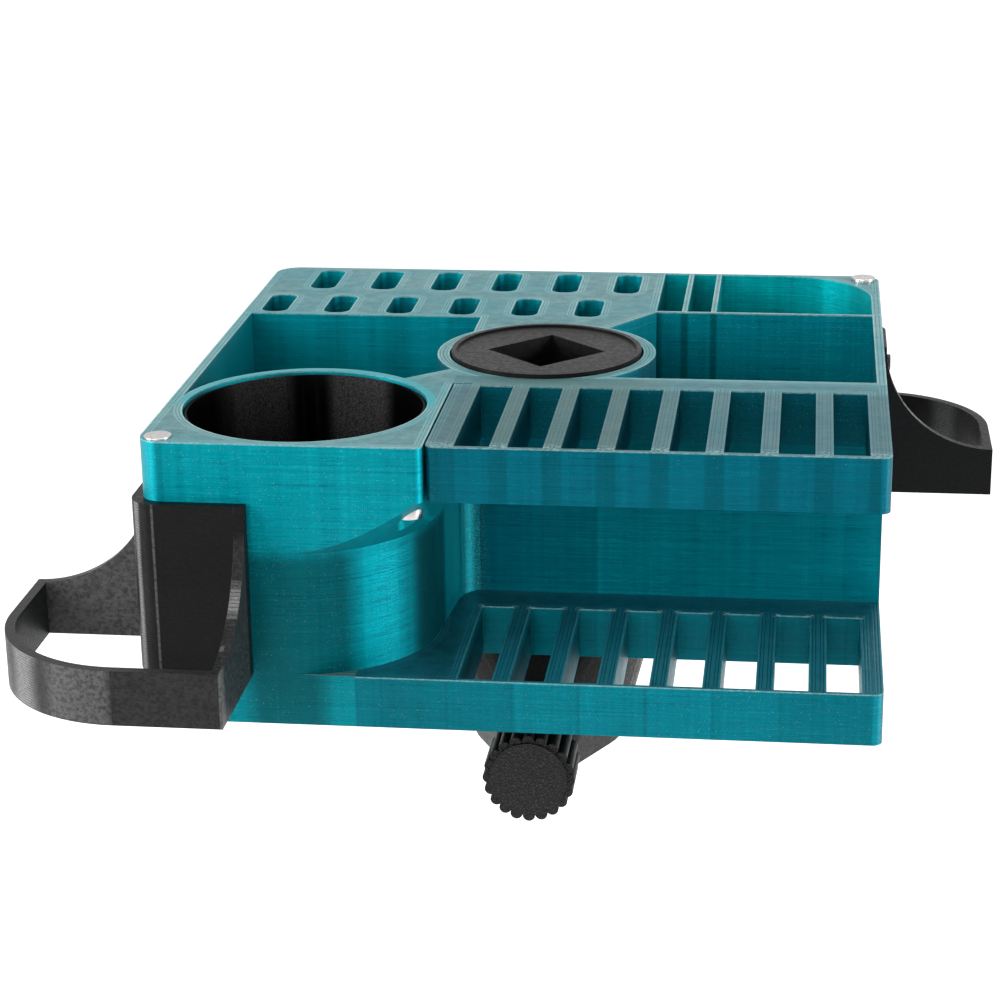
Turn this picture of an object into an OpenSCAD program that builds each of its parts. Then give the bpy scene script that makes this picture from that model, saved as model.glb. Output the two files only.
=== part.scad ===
// Workshop tool caddy that swivels on a clamp hub with a square sleeve.
// Millimetres, +Z up. The origin is on the swivel axis, level with the caddy's underside.
// The front of the caddy faces -Y and its cup is at the front left.

/* [Caddy] */
// Width of the caddy from side to side
body_w = 211; // [200:1:240]
// Distance of the caddy's middle to the left of the swivel axis
axis_offset = 0.5; // [0:0.1:2]
// Distance from the swivel axis to the front face
body_front = 101; // [98:0.5:115]
// Distance from the swivel axis to the back face
body_back = 104.5; // [98:0.5:120]
// Height of the caddy
body_h = 85; // [78:1:110]
// Thickness of the two side walls
side_wall = 3; // [1.6:0.2:4]
// Thickness of the back wall
back_wall = 1.2; // [1:0.2:4]
// Thickness of the bin floors
floor_t = 2.4; // [1.2:0.2:5]
// Radius of the two corners that carry the tool loops
loop_corner_r = 6.5; // [2:0.5:7]
// Radius of the rear left corner
rear_corner_r = 8; // [2:0.5:9]

/* [Cup] */
// Inside radius of the cup
cup_r = 35.9; // [30:0.1:36.5]
// Wall of the cup
cup_wall = 2.8; // [2:0.1:3.5]
// Extra width of the cup block left of the cup
cup_left = 2.5; // [1:0.1:3]
// Extra width of the cup block right of the cup
cup_side = 1.5; // [0.5:0.1:2.5]
// Thickness of the cup's floor
cup_floor = 3; // [2:0.5:6]
// Height at which the round cup starts to spread into the square block
spread_z = 52.8; // [46:0.2:56]
// Width of the slit between the cup block and the upper rack
slit_w = 0.6; // [0.4:0.1:1.5]
// Distance that the slit runs back past the tool slots
slit_past = 2; // [1:0.1:4]
// Length of the slit's turn to the right at its back end
slit_turn = 5.4; // [2:0.1:6]
// Radius of the two upright edges beside the slit
slit_edge_r = 2.5; // [0.5:0.1:3]
// Direction from the cup to where the web to the ring leaves it, in degrees
web_angle = 50; // [44:1:60]

/* [Racks] */
// Width of one tool slot
slot_w = 10; // [7:0.5:11]
// Distance from one tool slot to the next
slot_pitch = 15; // [14:0.5:18]
// Width of the solid strip at the right end of the racks
rack_end = 6; // [4:0.5:9]
// Least width of the solid strip at the left end of the racks
rack_start_min = 6; // [4:0.5:7]
// Height of the upper rack
upper_rack_h = 16.4; // [10:0.2:20]
// Distance that the upper rack's lip stands behind the cup block's front
upper_setback = 1.8; // [0.5:0.1:4]
// Thickness of the front lips
lip_t = 1.2; // [0.8:0.1:3]
// Depth of the solid rail behind the upper slots
upper_rail = 9.8; // [7:0.2:14]
// Height of the lower rack
lower_rack_h = 15.6; // [10:0.2:20]
// Depth of the solid strip behind the lower slots
lower_rail = 13.8; // [8:0.2:18]
// Distance from the swivel axis to the wall behind the racks
recess_y = 28.8; // [28:0.1:31]
// Thickness of that wall
recess_wall = 1.8; // [1.2:0.1:2.4]
// Radius of the rounded corner beside that wall
recess_corner_r = 6.5; // [2:0.5:8]
// Radius of the racks' front right corners
rack_corner_r = 3; // [1:0.5:4]

/* [Bins] */
// Distance from the swivel axis to the front of the slotted block
block_front = 41; // [38:0.5:46]
// Distance from the swivel axis to the right side of the slotted block
block_right = 31.3; // [28:0.1:34]
// Distance from the swivel axis to the wall between the right bins
divider_y = 51; // [47:0.5:56]
// Thickness of that wall
divider_t = 1.4; // [1.2:0.1:3]
// Distance from the slotted block to the first thin divider
first_fin_x = 8.3; // [6:0.1:10]
// Distance from one thin divider to the next
fin_pitch = 9.6; // [7.5:0.1:12]
// Thickness of the thin dividers
fin_t = 1.8; // [1.2:0.1:2.4]
// Inside radius of the rear bin's rounded corner
bin_corner_r = 29; // [20:1:32]

/* [Slotted block] */
// Width of one hole
hole_w = 8.8; // [7.4:0.2:12]
// Length of the front row's holes
front_hole_l = 22.6; // [16:0.2:24]
// Length of the back row's holes
back_hole_l = 26; // [16:0.2:27]
// Corner radius of the holes
hole_r = 3.6; // [2:0.1:3.6]
// Distance from one hole to the next
hole_pitch = 21; // [18:0.5:24]
// Distance from the left face to the middle of the first hole
first_hole_x = 9.7; // [8.4:0.1:11]
// Land in front of the front row
front_land = 2.2; // [1.5:0.1:4]
// Land behind the back row
back_land = 3.7; // [2:0.1:5]
// Width of the bridge to the ring, left of the swivel axis
bridge_left = 26; // [20:0.5:28]
// Width of the bridge to the ring, right of the swivel axis
bridge_right = 16.9; // [12:0.1:20]

/* [Sleeve and swivel] */
// Side of the square sleeve
sleeve_side = 26; // [20:0.1:26]
// Radius of the hub's barrel
barrel_r = 24; // [22.5:0.1:25]
// Radial running clearance between barrel and caddy
swivel_gap = 0.1; // [0.05:0.01:0.1]
// Radius of the top flange
flange_r = 29.8; // [28:0.1:31]
// Radial gap round the top flange
flange_gap = 0.6; // [0.4:0.1:1]
// Thickness of the top flange
flange_t = 8.2; // [5:0.1:10]
// Height that the top flange stands above the caddy
flange_proud = 1.2; // [0.5:0.1:2.5]
// Gap under the top flange
flange_lift = 0.3; // [0.2:0.05:0.5]
// Wall of the caddy's ring outside the top flange
ring_wall = 3.8; // [2.5:0.1:4.5]
// Width of the raised rim on the top flange
rim_w = 1.6; // [1:0.1:2.5]
// Height of the raised rim
rim_h = 0.7; // [0.3:0.1:1.2]
// Radius of the shoulder that the caddy rests on
shoulder_r = 34.8; // [32:0.1:38]
// Thickness of the shoulder's straight edge
shoulder_t = 3; // [2:0.5:6]
// Radius of the flange's four pegs
peg_r = 2.5; // [1.5:0.1:3]
// Length of the pegs
peg_l = 6; // [4:0.5:10]

/* [Clamp] */
// Depth of the clamp below the caddy
clamp_depth = 43; // [41:0.5:55]
// Radius of the clamp at its foot
foot_r = 24.3; // [23.5:0.1:28]
// Distance from the swivel axis to the middle of the rounded nose
nose_y = 34; // [33:0.5:38]
// Radius of the nose
nose_r = 8; // [7.5:0.1:10]
// Height of the nose above the foot
nose_h = 21; // [19:0.5:24]
// Height of the clamp screw above the foot
screw_up = 10; // [9.5:0.1:11]
// Radius of the clamp screw
screw_r = 4; // [3:0.1:4]
// Radial running clearance round the screw
screw_gap = 0.2; // [0.1:0.05:0.3]
// Width of the nut across its flats
nut_af = 13; // [11:0.1:13]
// Thickness of the nut
nut_t = 6.5; // [4:0.1:6.5]
// Clearance round the nut
nut_gap = 0.1; // [0.05:0.05:0.2]
// Distance from the swivel axis to the nut's inner face
nut_y = 28; // [27.6:0.1:29]
// Distance that the clamped pad reaches into the sleeve
pad_bite = 0.3; // [0.1:0.05:0.6]
// Width of the pressure pad
pad_w = 16; // [12:0.5:16]
// Height of the pressure pad
pad_h = 14; // [11:0.5:15]
// Distance from the swivel axis to the back of the pressure pad
pad_back = 24; // [23:0.1:24]
// Clearance round the pressure pad
pad_gap = 0.3; // [0.2:0.05:0.4]
// Travel of the pressure pad
pad_travel = 1.9; // [1:0.1:2]
// Depth of the socket in the pad for the screw's tip
pad_socket = 3; // [2:0.5:4]

/* [Knob] */
// Distance from the swivel axis to the knob's face
knob_face_y = 62; // [60:0.5:70]
// Length of the knob
knob_l = 17.5; // [13:0.5:17.5]
// Outside radius over the knob's lobes
knob_r = 14.2; // [12:0.1:16]
// Radius of one lobe
lobe_r = 1.9; // [1.2:0.1:2.2]
// Number of lobes
lobe_count = 20; // [14:1:22]
// Radius of the knob's raised face
knob_face_r = 11.9; // [9:0.1:11.9]
// Height of the raised face
knob_face_h = 0.6; // [0.3:0.1:1.5]
// Length of the knob's collar
collar_l = 2; // [1:0.5:2]
// Radius of the knob's collar
collar_r = 8; // [6.5:0.1:10]
// Width across flats of the screw's head
head_af = 13; // [11:0.1:14]
// Thickness of the screw's head
head_t = 5.3; // [4:0.1:6]
// Plastic left in front of the screw's head
head_cover = 2.5; // [1.5:0.1:4]

/* [Cup liner] */
// Radial clearance between liner and cup at the rim
liner_gap = 0.4; // [0.3:0.05:0.8]
// Wall of the liner
liner_wall = 0.9; // [0.6:0.1:2]
// Depth of the liner's rim below the caddy's top
liner_drop = 1; // [0.5:0.1:3]
// Radius that the liner loses from rim to floor
liner_taper = 4; // [2:0.5:8]

/* [Tool loops] */
// Reach of a loop from the caddy's faces
loop_reach = 40; // [30:0.5:45]
// Distance of the loops' plates below the level of the upper rack
loop_drop = 1.3; // [0:0.1:3]
// Outside radius of the bend in a loop's plates
loop_bend_r = 8; // [4:0.5:10]
// Length of a loop's front plate along the caddy
front_leg = 31; // [26:0.5:34]
// Length of a loop's side plate along the caddy
side_leg = 28; // [26:0.5:34]
// Thickness of plates, webs and band
loop_t = 3; // [2.4:0.1:3.6]
// Height of the band
band_h = 16.2; // [12:0.2:22]
// Distance of the screws from the caddy's corner
loop_screw_y = 14.5; // [13:0.5:16]
// Distance of the screws from the plates' ends
loop_screw_z = 9; // [7:0.5:11]
// Radius of the loop screws
loop_screw_r = 1.5; // [1.2:0.1:1.7]
// Length of the loop screws under the head
loop_screw_l = 9; // [7:0.5:9.5]
// Radius of the loop screws' heads
loop_head_r = 2.8; // [2.4:0.1:3.4]
// Height of the loop screws' heads
loop_head_h = 1.7; // [1.2:0.1:2.2]
// Clearance round the loop screws
loop_screw_gap = 0.1; // [0.05:0.05:0.2]

/* [Magnets] */
// Radius of the disc magnets
magnet_r = 4; // [3:0.5:4]
// Thickness of the disc magnets
magnet_t = 3; // [2:0.5:4]
// Distance of the magnets from the faces beside them
magnet_inset = 5.3; // [5.2:0.1:6]
// Clearance round the magnets
magnet_gap = 0.05; // [0.02:0.01:0.1]
// Height that the front magnet stands above the caddy
front_magnet_proud = 0.4; // [0.2:0.1:1.5]
// Height that the rear magnet stands above the caddy
rear_magnet_proud = 1; // [0.2:0.1:1.5]
// Distance of the hidden magnet from the slit
hidden_magnet_x = 5; // [4.5:0.1:6]
// Distance of the hidden magnet from the front face
hidden_magnet_y = 7.5; // [6:0.1:9]
// Height of the hidden magnet's lower face
hidden_magnet_z = 62.4; // [60:0.2:64]

/* [Hidden] */
$fn = 96;

caddy_colour = "#128790";
black_plastic = "#1c1c1d";
steel = "silver";

// Overrun of every cut past the face that it opens
cut = 1;

left_x = -body_w / 2 - axis_offset;
right_x = body_w / 2 - axis_offset;
front_y = -body_front;
back_y = body_back;
upper_z = body_h - upper_rack_h;

// The cup touches the front face and stands off the left face by cup_left
cup_out_r = cup_r + cup_wall;
cup_x = left_x + cup_left + cup_out_r;
cup_y = front_y + cup_out_r;
slit_x = cup_x + cup_out_r + cup_side;

// The web's right side slants a little from the cup to the wall behind the racks
web_x = slit_x + cup_side;
// Degrees by which the web is wider at the ring than at the cup
web_flare = 12;
// The foot of the cup block is square up to here, where the lower rack takes over
foot_share = 0.5;
foot_x = cup_x + cup_out_r * foot_share;

// The ring carries the flange's recess and, below it, the barrel's bore
recess_r = flange_r + flange_gap;
ring_r = recess_r + ring_wall;
bore_r = barrel_r + swivel_gap;

// Where the web's rear face leaves the cup and meets the ring
web_cup_end = [cup_x + cup_out_r * cos(web_angle), cup_y + cup_out_r * sin(web_angle)];
web_ring_end = [-ring_r * cos(web_angle - web_flare), -ring_r * sin(web_angle - web_flare)];

// The flange sinks into the ring's recess
flange_z = body_h + flange_proud - flange_t;
recess_z = flange_z - flange_lift;

// Slots are counted from the right, and the left strip takes what remains
slot_count = floor((right_x - rack_end - slit_x - rack_start_min + slot_pitch - slot_w) / slot_pitch);
upper_slot_back = -recess_y - upper_rail;
slit_back = upper_slot_back + slit_past;
upper_slot_front = front_y + upper_setback + lip_t;
lower_slot_back = -recess_y - lower_rail;
lower_slot_front = front_y + lip_t;

// The two rows of holes are staggered by half a pitch, with the same clear strip at the right
front_hole_y = block_front + front_land;
back_hole_y = back_y - back_land - back_hole_l;
row_split_y = (front_hole_y + front_hole_l + back_hole_y) / 2;
front_row_x = left_x + first_hole_x;
back_row_x = front_row_x + hole_pitch / 2;
front_count = 1 + floor((block_right - hole_w / 2 - front_land - front_row_x) / hole_pitch);
back_count = 1 + floor((block_right - hole_w / 2 - front_land - back_row_x) / hole_pitch);

// The clamped pad stands a little inside the sleeve's front corner
v_apex_y = -(sleeve_side / 2 - pad_bite) * sqrt(2);
peg_ring_r = (sleeve_side / 2 + barrel_r) / 2;
screw_z = -clamp_depth + screw_up;
screw_tip_y = -pad_back + pad_socket;
knob_back_y = -knob_face_y + knob_l;
head_y = -knob_face_y + head_cover;

// Tool loops fill the height between the two racks
loop_z = lower_rack_h;
loop_h = upper_z - loop_drop - loop_z;

// Upright cylinder whose foot is at one point
module rod(x, y, z, r, h) {
    translate([x, y, z]) cylinder(r = r, h = h);
}

// What lies outside a rounded corner; sx and sy point from the corner to the inside
module corner_waste(x, y, r, sx, sy) {
    translate([x, y]) difference() {
        translate([min(-sx * cut, sx * r), min(-sy * cut, sy * r)]) square(r + cut);
        translate([sx * r, sy * r]) circle(r);
    }
}

// A slot or hole with round corners, from one corner point
module round_slot(x, y, w, l, r) {
    translate([x, y]) {
        translate([r, 0]) square([w - 2 * r, l]);
        translate([0, r]) square([w, l - 2 * r]);
        for (i = [r, w - r], j = [r, l - r]) translate([i, j]) circle(r);
    }
}

// Plan of the cup, its square front left quarter and the web to the ring
module cup_plan() {
    difference() {
        union() {
            translate([cup_x, cup_y]) circle(cup_out_r);
            translate([left_x, front_y]) square([cup_x - left_x, cup_y - front_y]);
            polygon([[cup_x, cup_y], [cup_x + cup_out_r, cup_y], [web_x, -recess_y], [0, -recess_y], [0, 0],
                web_ring_end, web_cup_end]);
        }
        circle(ring_r);
        corner_waste(left_x, front_y, loop_corner_r, 1, 1);
    }
}

// Plan of the square quarter at the top right of the cup block
module cup_square_plan() {
    difference() {
        polygon([[cup_x, front_y], [slit_x, front_y], [slit_x, -recess_y], web_cup_end, [cup_x, cup_y]]);
        circle(ring_r);
        corner_waste(slit_x, front_y, slit_edge_r, -1, 1);
    }
}

// The round cup grows into a square block that overhangs it at the front right
module cup_block() {
    spread_h = upper_z - spread_z;
    color(caddy_colour) difference() {
        union() {
            linear_extrude(upper_z) cup_plan();
            translate([cup_x, front_y, 0]) cube([foot_x - cup_x, cup_y - front_y, lower_rack_h]);
            translate([0, 0, lower_rack_h]) linear_extrude(upper_z - lower_rack_h) recess_fillet();
            translate([0, 0, upper_z]) linear_extrude(upper_rack_h) {
                cup_square_plan();
                difference() {
                    cup_plan();
                    translate([slit_x, front_y]) square([body_w, -recess_y - front_y]);
                }
            }
            intersection() {
                translate([0, 0, spread_z]) linear_extrude(spread_h) cup_square_plan();
                translate([cup_x, cup_y, spread_z])
                    cylinder(r1 = cup_out_r, r2 = cup_out_r + spread_h, h = spread_h);
            }
        }
        rod(cup_x, cup_y, cup_floor, cup_r, body_h);
        rod(left_x + magnet_inset, front_y + magnet_inset, body_h + front_magnet_proud - magnet_t,
            magnet_r + magnet_gap, magnet_t);
        rod(slit_x - hidden_magnet_x, front_y + hidden_magnet_y, spread_z - cut,
            magnet_r + magnet_gap, hidden_magnet_z + magnet_t - spread_z + cut);
        loop_pilots(left_x, front_y, 1, 1);
    }
}

// Rounded corner between the web's right side and the wall behind the racks
module recess_fillet() {
    difference() {
        translate([web_x - cup_side, -recess_y - recess_corner_r])
            square([recess_corner_r + cup_side, recess_corner_r]);
        translate([web_x + recess_corner_r, -recess_y - recess_corner_r]) circle(recess_corner_r);
        circle(ring_r);
    }
}

// Two pilot holes for a loop's screws; sx and sy point from the corner to the inside
module loop_pilots(x, y, sx, sy) {
    for (z = [loop_z + loop_screw_z, loop_z + loop_h - loop_screw_z])
        translate([x - sx * (loop_t + cut), y + sy * loop_screw_y, z]) rotate([0, sx * 90, 0])
            cylinder(r = loop_screw_r + loop_screw_gap, h = cut + loop_screw_l + loop_screw_gap);
}

// Plan of the slotted block's front half with its bridge to the ring
module block_front_plan() {
    difference() {
        polygon([[left_x, block_front], [-bridge_left, block_front], [-bridge_left, 0], [0, 0],
            [bridge_right, sqrt(ring_r * ring_r - bridge_right * bridge_right)],
            [block_right, divider_y], [block_right, row_split_y], [left_x, row_split_y]]);
        circle(ring_r);
    }
}

module slot_block_front() {
    color(caddy_colour) difference() {
        linear_extrude(body_h) block_front_plan();
        for (i = [0 : front_count - 1])
            translate([front_row_x + i * hole_pitch - hole_w / 2, front_hole_y, floor_t])
                linear_extrude(body_h) round_slot(0, 0, hole_w, front_hole_l, hole_r);
    }
}

module slot_block_back() {
    color(caddy_colour) difference() {
        linear_extrude(body_h) difference() {
            translate([left_x, row_split_y]) square([block_right - left_x, back_y - row_split_y]);
            corner_waste(left_x, back_y, rear_corner_r, 1, -1);
        }
        for (i = [0 : back_count - 1])
            translate([back_row_x + i * hole_pitch - hole_w / 2, back_hole_y, floor_t])
                linear_extrude(body_h) round_slot(0, 0, hole_w, back_hole_l, hole_r);
    }
}

// The bin behind the cup: its floor and its outer wall
module left_bin() {
    color(caddy_colour) difference() {
        union() {
            linear_extrude(floor_t) polygon([[left_x, cup_y], [cup_x, cup_y], web_cup_end, web_ring_end,
                [0, 0], [0, block_front], [left_x, block_front]]);
            translate([left_x, cup_y, 0]) cube([side_wall, block_front - cup_y, body_h]);
        }
        translate([0, 0, -cut]) linear_extrude(body_h + 2 * cut) {
            cup_plan();
            block_front_plan();
            circle(ring_r);
        }
    }
}

// The ring that turns on the hub, flat where it meets the wall behind the racks
module swivel_ring() {
    color(caddy_colour) difference() {
        cylinder(r = ring_r, h = body_h);
        translate([0, 0, -cut]) cylinder(r = bore_r, h = body_h + 2 * cut);
        translate([0, 0, recess_z]) cylinder(r = recess_r, h = body_h);
        translate([-ring_r, -recess_y - ring_r, -cut]) cube([2 * ring_r, ring_r, body_h + 2 * cut]);
    }
}

// The large bin on the right, from the wall behind the racks to the cross wall
module right_bin() {
    depth = recess_y + divider_y + divider_t;
    color(caddy_colour) difference() {
        translate([0, -recess_y, 0]) cube([right_x, depth, body_h]);
        translate([-cut, -recess_y + recess_wall, floor_t])
            cube([right_x - side_wall + cut, recess_y - recess_wall + divider_y, body_h]);
        translate([0, 0, -cut]) linear_extrude(body_h + 2 * cut) {
            circle(ring_r);
            block_front_plan();
        }
    }
}

// The rear bin with its two thin dividers and its rounded corner
module rear_bin() {
    y0 = divider_y + divider_t;
    inner_back = back_y - back_wall;
    inner_right = right_x - side_wall;
    fin_x = block_right + first_fin_x;
    main_x = fin_x + fin_pitch + fin_t;
    color(caddy_colour) difference() {
        linear_extrude(body_h) difference() {
            translate([block_right, y0]) square([right_x - block_right, back_y - y0]);
            corner_waste(right_x, back_y, loop_corner_r, -1, -1);
        }
        translate([0, 0, floor_t]) linear_extrude(body_h) {
            translate([block_right - cut, y0 - cut]) square([first_fin_x + cut, inner_back - y0 + cut]);
            translate([fin_x + fin_t, y0 - cut]) square([fin_pitch - fin_t, inner_back - y0 + cut]);
            difference() {
                translate([main_x, y0 - cut]) square([inner_right - main_x, inner_back - y0 + cut]);
                corner_waste(inner_right, inner_back, bin_corner_r, -1, -1);
            }
        }
        rod(right_x - magnet_inset, back_y - magnet_inset, body_h + rear_magnet_proud - magnet_t,
            magnet_r + magnet_gap, magnet_t);
        loop_pilots(right_x, back_y, -1, -1);
    }
}

// Tool slots side by side between two depths
module rack_slots(front, back) {
    for (i = [0 : slot_count - 1])
        translate([right_x - rack_end - slot_w - i * slot_pitch, front]) square([slot_w, back - front]);
}

// The upper rack joins the ring and the cup block at its rail and is free of the block in front
module upper_rack() {
    rack_x = slit_x + slit_w;
    rack_y = front_y + upper_setback;
    color(caddy_colour) difference() {
        translate([0, 0, upper_z]) linear_extrude(upper_rack_h) difference() {
            union() {
                translate([rack_x, rack_y]) square([right_x - rack_x, -recess_y - rack_y]);
                translate([slit_x, slit_back]) square([right_x - slit_x, upper_rail - slit_past]);
            }
            translate([slit_x, slit_back - slit_w]) square([slit_w + slit_turn, slit_w]);
            rack_slots(upper_slot_front, upper_slot_back);
            corner_waste(right_x, rack_y, rack_corner_r, -1, 1);
            corner_waste(rack_x, rack_y, slit_edge_r, 1, 1);
        }
        translate([0, 0, recess_z]) cylinder(r = recess_r, h = body_h);
    }
}

module lower_rack() {
    color(caddy_colour) linear_extrude(lower_rack_h) difference() {
        polygon([[foot_x, front_y], [right_x, front_y], [right_x, -recess_y],
            [web_x, -recess_y], [cup_x + cup_out_r, cup_y], [foot_x, cup_y]]);
        cup_plan();
        rack_slots(lower_slot_front, lower_slot_back);
        corner_waste(right_x, front_y, rack_corner_r, -1, 1);
    }
}

// A tapered beaker that stands on the cup's floor and lifts out
module cup_liner() {
    rim_r = cup_r - liner_gap;
    foot = rim_r - liner_taper;
    top = body_h - liner_drop;
    color(black_plastic) translate([cup_x, cup_y, 0]) rotate_extrude()
        polygon([[0, cup_floor], [foot, cup_floor], [rim_r, top], [rim_r - liner_wall, top],
            [foot - liner_wall, cup_floor + liner_wall], [0, cup_floor + liner_wall]]);
}

// One loop for a corner at the origin with the caddy inside +X and +Y
module tool_loop() {
    color(black_plastic) difference() {
        union() {
            linear_extrude(loop_h) loop_plates();
            linear_extrude(band_h) difference() {
                loop_outline(loop_reach);
                loop_outline(loop_reach - loop_t);
            }
            translate([0, side_leg, 0]) rotate([90, 0, 0]) linear_extrude(loop_t) mirror([1, 0]) web_side();
            translate([front_leg - loop_t, 0, 0]) rotate([90, 0, 90]) linear_extrude(loop_t)
                mirror([1, 0]) web_side();
        }
        for (z = [loop_screw_z, loop_h - loop_screw_z])
            translate([-loop_t - cut, loop_screw_y, z]) rotate([0, 90, 0])
                cylinder(r = loop_screw_r + loop_screw_gap, h = loop_t + 2 * cut);
    }
}

// The two plates that lie against the caddy's faces and its rounded corner
module loop_plates() {
    difference() {
        translate([-loop_t, -loop_t]) square([front_leg + loop_t, side_leg + loop_t]);
        translate([loop_corner_r, 0]) square([front_leg, side_leg + cut]);
        translate([0, loop_corner_r]) square([front_leg + cut, side_leg]);
        translate([loop_corner_r, loop_corner_r]) circle(loop_corner_r);
        corner_waste(-loop_t, -loop_t, loop_bend_r, 1, 1);
    }
}

// The quarter outside the caddy's corner that lies within one reach of it
module loop_outline(reach) {
    difference() {
        circle(reach);
        translate([0, -reach]) square([reach, 2 * reach]);
        translate([-reach, 0]) square([2 * reach, reach]);
    }
    translate([-reach, 0]) square([reach, side_leg]);
    translate([0, -reach]) square([front_leg, reach]);
}

// Side of a web: a quarter ellipse falls from the plate's top to the band's top
module web_side() {
    steps = 24;
    fall_w = loop_reach - loop_t;
    fall_h = loop_h - band_h;
    fall = [for (i = [0 : steps])
        [loop_reach - fall_w * sin(90 * i / steps), loop_h - fall_h * cos(90 * i / steps)]];
    polygon(concat([[0, loop_h], [0, 0], [loop_reach, 0]], fall));
}

module front_tool_loop() {
    translate([left_x, front_y, loop_z]) tool_loop();
}

module rear_tool_loop() {
    translate([right_x, back_y, loop_z]) rotate([0, 0, 180]) tool_loop();
}

// Round head screws that hold the loops' side plates
module loop_screws() {
    color(steel) for (s = [-1, 1], z = [loop_z + loop_screw_z, loop_z + loop_h - loop_screw_z])
        translate(s > 0 ? [right_x + loop_t, back_y - loop_screw_y, z]
                        : [left_x - loop_t, front_y + loop_screw_y, z])
            rotate([0, s * 90, 0]) {
                cylinder(r = loop_head_r, h = loop_head_h);
                translate([0, 0, -loop_screw_l]) cylinder(r = loop_screw_r, h = loop_screw_l);
            }
}

module front_magnet() {
    color(steel) rod(left_x + magnet_inset, front_y + magnet_inset,
        body_h + front_magnet_proud - magnet_t, magnet_r, magnet_t);
}

module rear_magnet() {
    color(steel) rod(right_x - magnet_inset, back_y - magnet_inset,
        body_h + rear_magnet_proud - magnet_t, magnet_r, magnet_t);
}

module underside_magnet() {
    color(steel) rod(slit_x - hidden_magnet_x, front_y + hidden_magnet_y,
        hidden_magnet_z, magnet_r, magnet_t);
}

// The square sleeve, with its corners to the front, back and sides
module sleeve(z, h) {
    rotate([0, 0, 45]) translate([-sleeve_side / 2, -sleeve_side / 2, z])
        cube([sleeve_side, sleeve_side, h]);
}

// A round shoulder lofts down to a drop-shaped foot with a nose for the screw
module clamp_hub() {
    color(black_plastic) difference() {
        union() {
            cylinder(r = barrel_r, h = flange_z);
            hull() {
                translate([0, 0, -shoulder_t]) cylinder(r = shoulder_r, h = shoulder_t, $fn = 48);
                translate([0, 0, -clamp_depth]) cylinder(r = foot_r, h = shoulder_t, $fn = 48);
                translate([0, -nose_y, -clamp_depth]) cylinder(r = nose_r, h = nose_h, $fn = 32);
            }
        }
        sleeve(-clamp_depth - cut, clamp_depth + flange_z + 2 * cut);
        translate([0, 0, screw_z]) rotate([90, 0, 0])
            cylinder(r = screw_r + screw_gap, h = nose_y + nose_r + cut);
        translate([-nut_af / 2 - nut_gap, -nut_y - nut_t - nut_gap, -clamp_depth - cut])
            cube([nut_af + 2 * nut_gap, nut_t + 2 * nut_gap,
                screw_up + nut_af / sqrt(3) + nut_gap + cut]);
        translate([-pad_w / 2 - pad_gap, -pad_back - pad_travel - pad_gap, screw_z - pad_h / 2 - pad_gap])
            cube([pad_w + 2 * pad_gap, pad_back + pad_travel + pad_gap, pad_h + 2 * pad_gap]);
        for (a = [45 : 90 : 315]) rotate([0, 0, a])
            rod(peg_ring_r, 0, flange_z - peg_l - pad_gap, peg_r + swivel_gap, peg_l + cut);
    }
}

// The black disc at the top, pegged onto the barrel, with a raised rim
module hub_flange() {
    color(black_plastic) {
        difference() {
            translate([0, 0, flange_z]) cylinder(r = flange_r, h = flange_t);
            translate([0, 0, flange_z + flange_t - rim_h]) cylinder(r = flange_r - rim_w, h = rim_h + cut);
            sleeve(flange_z - cut, flange_t + 2 * cut);
        }
        for (a = [45 : 90 : 315]) rotate([0, 0, a]) rod(peg_ring_r, 0, flange_z - peg_l, peg_r, peg_l);
    }
}

module clamp_nut() {
    color(steel) translate([0, -nut_y, screw_z]) rotate([90, 30, 0]) difference() {
        cylinder(r = nut_af / sqrt(3), h = nut_t, $fn = 6);
        translate([0, 0, -cut]) cylinder(r = screw_r + nut_gap / 2, h = nut_t + 2 * cut);
    }
}

// A block whose V lies just inside the sleeve's front corner when the clamp is tight
module pressure_pad() {
    half = pad_w / 2;
    color(black_plastic) difference() {
        translate([0, 0, screw_z - pad_h / 2]) linear_extrude(pad_h)
            polygon([[-half, -pad_back], [half, -pad_back], [half, half + v_apex_y],
                [0, v_apex_y], [-half, half + v_apex_y]]);
        translate([0, screw_tip_y, screw_z]) rotate([90, 0, 0])
            cylinder(r = screw_r + nut_gap / 2, h = pad_back);
    }
}

module clamp_screw() {
    color(steel) {
        translate([0, screw_tip_y, screw_z]) rotate([90, 0, 0])
            cylinder(r = screw_r, h = screw_tip_y - head_y - head_t);
        translate([0, head_y + head_t, screw_z]) rotate([90, 30, 0])
            cylinder(r = head_af / sqrt(3), h = head_t, $fn = 6);
    }
}

// A fluted knob cast round the screw's head
module clamp_knob() {
    core_r = knob_r - lobe_r;
    color(black_plastic) difference() {
        translate([0, -knob_face_y, screw_z]) rotate([-90, 0, 0]) {
            linear_extrude(knob_l) {
                circle(core_r);
                for (i = [0 : lobe_count - 1]) rotate(360 * i / lobe_count) translate([core_r, 0])
                    circle(lobe_r, $fn = 24);
            }
            translate([0, 0, -knob_face_h]) cylinder(r = knob_face_r, h = knob_face_h);
            translate([0, 0, knob_l]) cylinder(r = collar_r, h = collar_l);
        }
        translate([0, head_y, screw_z]) rotate([-90, 30, 0])
            cylinder(r = head_af / sqrt(3), h = head_t, $fn = 6);
        translate([0, head_y, screw_z]) rotate([-90, 0, 0])
            cylinder(r = screw_r + nut_gap / 2, h = knob_face_y);
    }
}

cup_block();
left_bin();
slot_block_front();
slot_block_back();
swivel_ring();
right_bin();
rear_bin();
upper_rack();
lower_rack();
cup_liner();
front_tool_loop();
rear_tool_loop();
loop_screws();
front_magnet();
rear_magnet();
underside_magnet();
clamp_hub();
hub_flange();
clamp_nut();
pressure_pad();
clamp_screw();
clamp_knob();
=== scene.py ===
import math

import bpy
from mathutils import Matrix, Vector

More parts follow.
